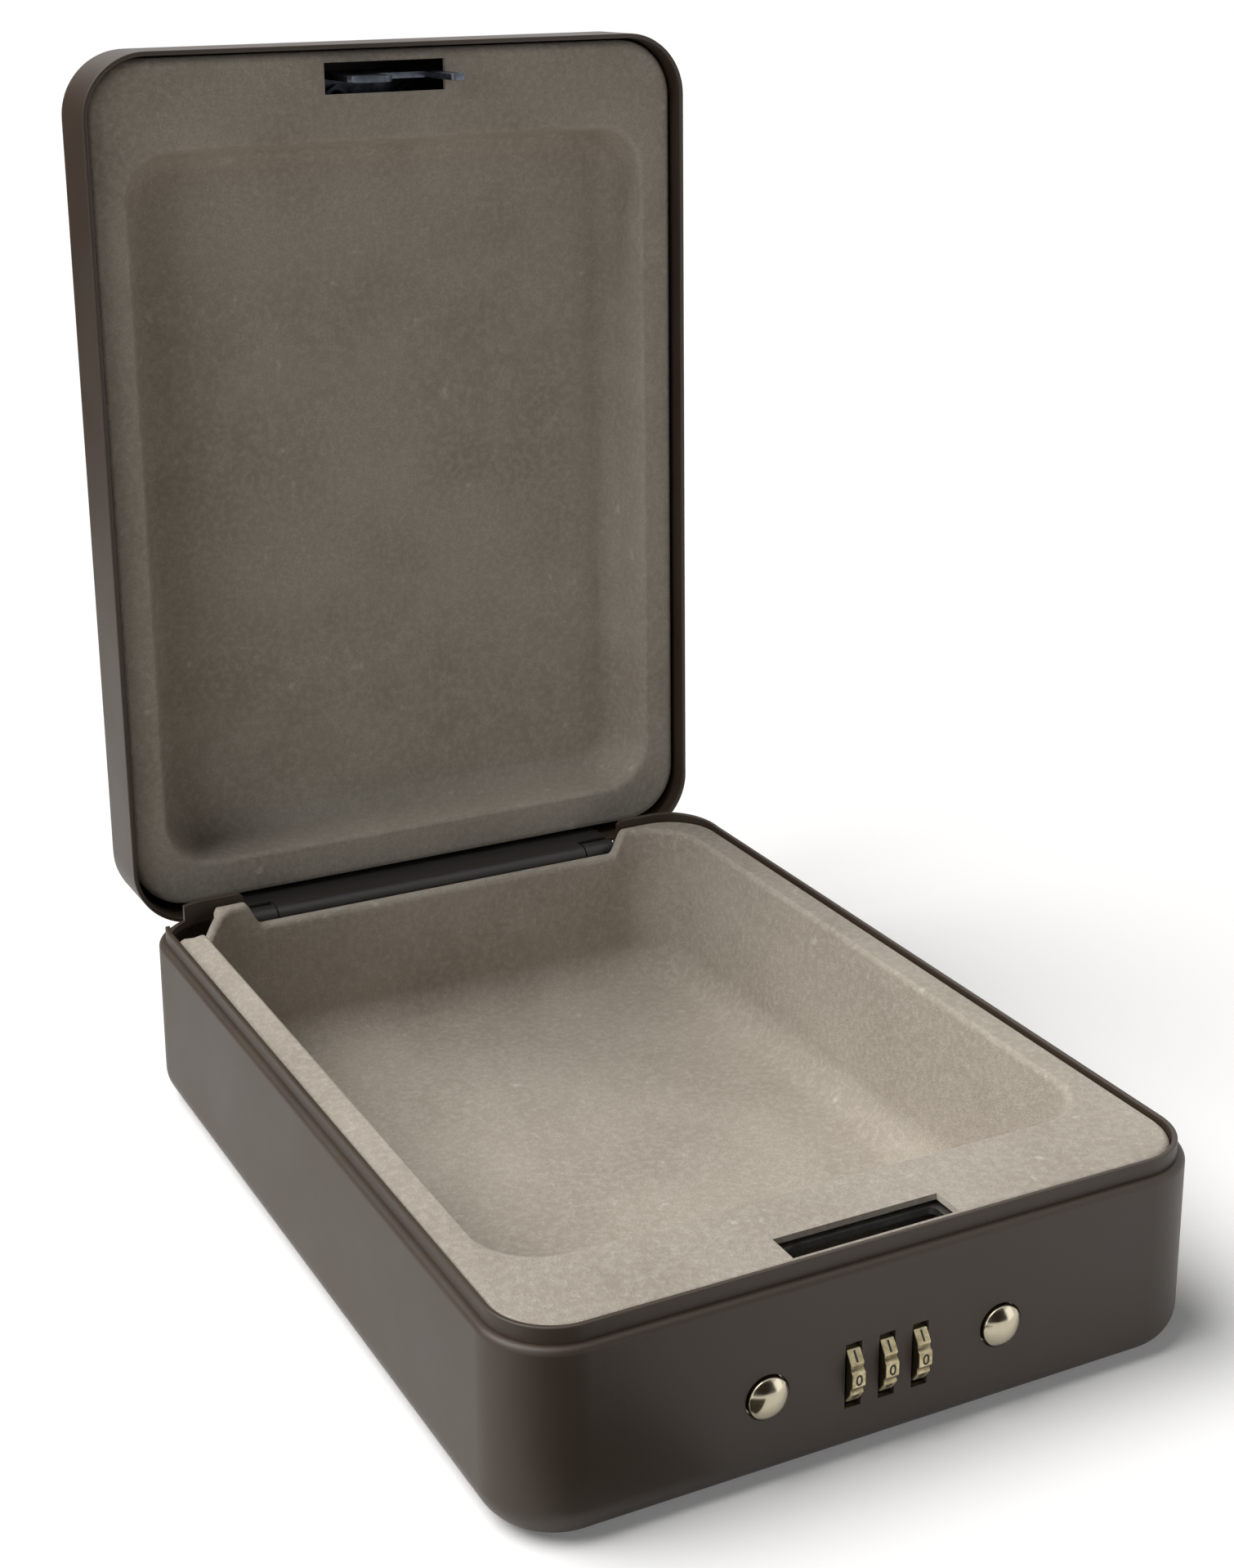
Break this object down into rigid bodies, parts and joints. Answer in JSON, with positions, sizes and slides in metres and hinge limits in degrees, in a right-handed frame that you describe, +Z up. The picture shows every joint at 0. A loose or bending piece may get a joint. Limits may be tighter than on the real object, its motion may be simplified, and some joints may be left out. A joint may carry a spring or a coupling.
{
  "type": "portable car safe",
  "caption": "Small steel lock box with a hinged lid, flock-lined tub, number-wheel lock, sprung push buttons and slide latches that catch a hooked striker.",
  "frame": {"origin": "middle of the base's flat underside", "axes": "+Z up, -Y towards the front wall with the wheels and buttons, +X to the right seen from the front"},
  "size_m": [0.165, 0.2616, 0.2651],
  "materials": {
    "painted_steel": "fine matt powder coat",
    "flock": "short flocked pile",
    "hinge_steel": "dark coated steel, smooth",
    "zinc_steel": "bright zinc plate",
    "spring_steel": "drawn spring steel",
    "brass": "satin, lightly aged",
    "chrome": "polished"
  },
  "bodies": {
    "base": {"base_shell": "painted_steel", "base_liner": "flock", "hinge_base_leaf": "hinge_steel", "hinge_pin": "zinc_steel", "lock_frame": "zinc_steel", "dial_spindle": "zinc_steel", "gate_bar": "zinc_steel", "detent_spring": "spring_steel", "lock_nut_left_lower": "zinc_steel", "lock_nut_left_upper": "zinc_steel", "lock_nut_right_lower": "zinc_steel", "lock_nut_right_upper": "zinc_steel", "guide_rivet_left_lower": "zinc_steel", "guide_rivet_left_upper": "zinc_steel", "guide_rivet_right_lower": "zinc_steel", "guide_rivet_right_upper": "zinc_steel"},
    "lid": {"lid_shell": "painted_steel", "lid_liner": "flock", "hinge_lid_leaf": "hinge_steel", "striker_plate": "zinc_steel", "striker_nut_left": "zinc_steel", "striker_nut_right": "zinc_steel"},
    "dial_left": {"dial_left": "brass", "dial_hub_left": "zinc_steel"},
    "dial_middle": {"dial_middle": "brass", "dial_hub_middle": "zinc_steel"},
    "dial_right": {"dial_right": "brass", "dial_hub_right": "zinc_steel"},
    "button_left": {"button_left": "chrome", "button_spring_left": "spring_steel"},
    "button_right": {"button_right": "chrome", "button_spring_right": "spring_steel"},
    "latch_left": {"latch_left": "zinc_steel", "latch_spring_left": "spring_steel"},
    "latch_right": {"latch_right": "zinc_steel", "latch_spring_right": "spring_steel"}
  },
  "joints": [
    {"name": "lid_hinge", "type": "hinge", "parent": "base", "child": "lid", "pos_m": [0, 0.1133, 0.0389], "axis": [1, 0, 0], "range_deg": [0, 91]},
    {"name": "dial_left_spin", "type": "hinge", "parent": "base", "child": "dial_left", "pos_m": [-0.0079, -0.1074, 0.0196], "axis": [1, 0, 0], "continuous": true},
    {"name": "dial_middle_spin", "type": "hinge", "parent": "base", "child": "dial_middle", "pos_m": [0, -0.1074, 0.0196], "axis": [1, 0, 0], "continuous": true},
    {"name": "dial_right_spin", "type": "hinge", "parent": "base", "child": "dial_right", "pos_m": [0.0079, -0.1074, 0.0196], "axis": [1, 0, 0], "continuous": true},
    {"name": "button_left_press", "type": "slide", "parent": "base", "child": "button_left", "axis": [0, 1, 0], "range_m": [0, 0.0025], "stiffness_N_per_m": 400, "springref_m": -0.0025, "deforming": ["button_spring_left"]},
    {"name": "latch_left_slide", "type": "slide", "parent": "base", "child": "latch_left", "axis": [-1, 0, 0], "range_m": [0, 0.0025], "stiffness_N_per_m": 300, "springref_m": -0.002, "deforming": ["latch_spring_left"]},
    {"name": "button_right_press", "type": "slide", "parent": "base", "child": "button_right", "axis": [0, 1, 0], "range_m": [0, 0.0025], "stiffness_N_per_m": 400, "springref_m": -0.0025, "deforming": ["button_spring_right"]},
    {"name": "latch_right_slide", "type": "slide", "parent": "base", "child": "latch_right", "axis": [1, 0, 0], "range_m": [0, 0.0025], "stiffness_N_per_m": 300, "springref_m": -0.002, "deforming": ["latch_spring_right"]}
  ],
  "couplings": [
    {"joint": "latch_left_slide", "follows": "button_left_press", "ratio": 1},
    {"joint": "latch_right_slide", "follows": "button_right_press", "ratio": 1}
  ]
}
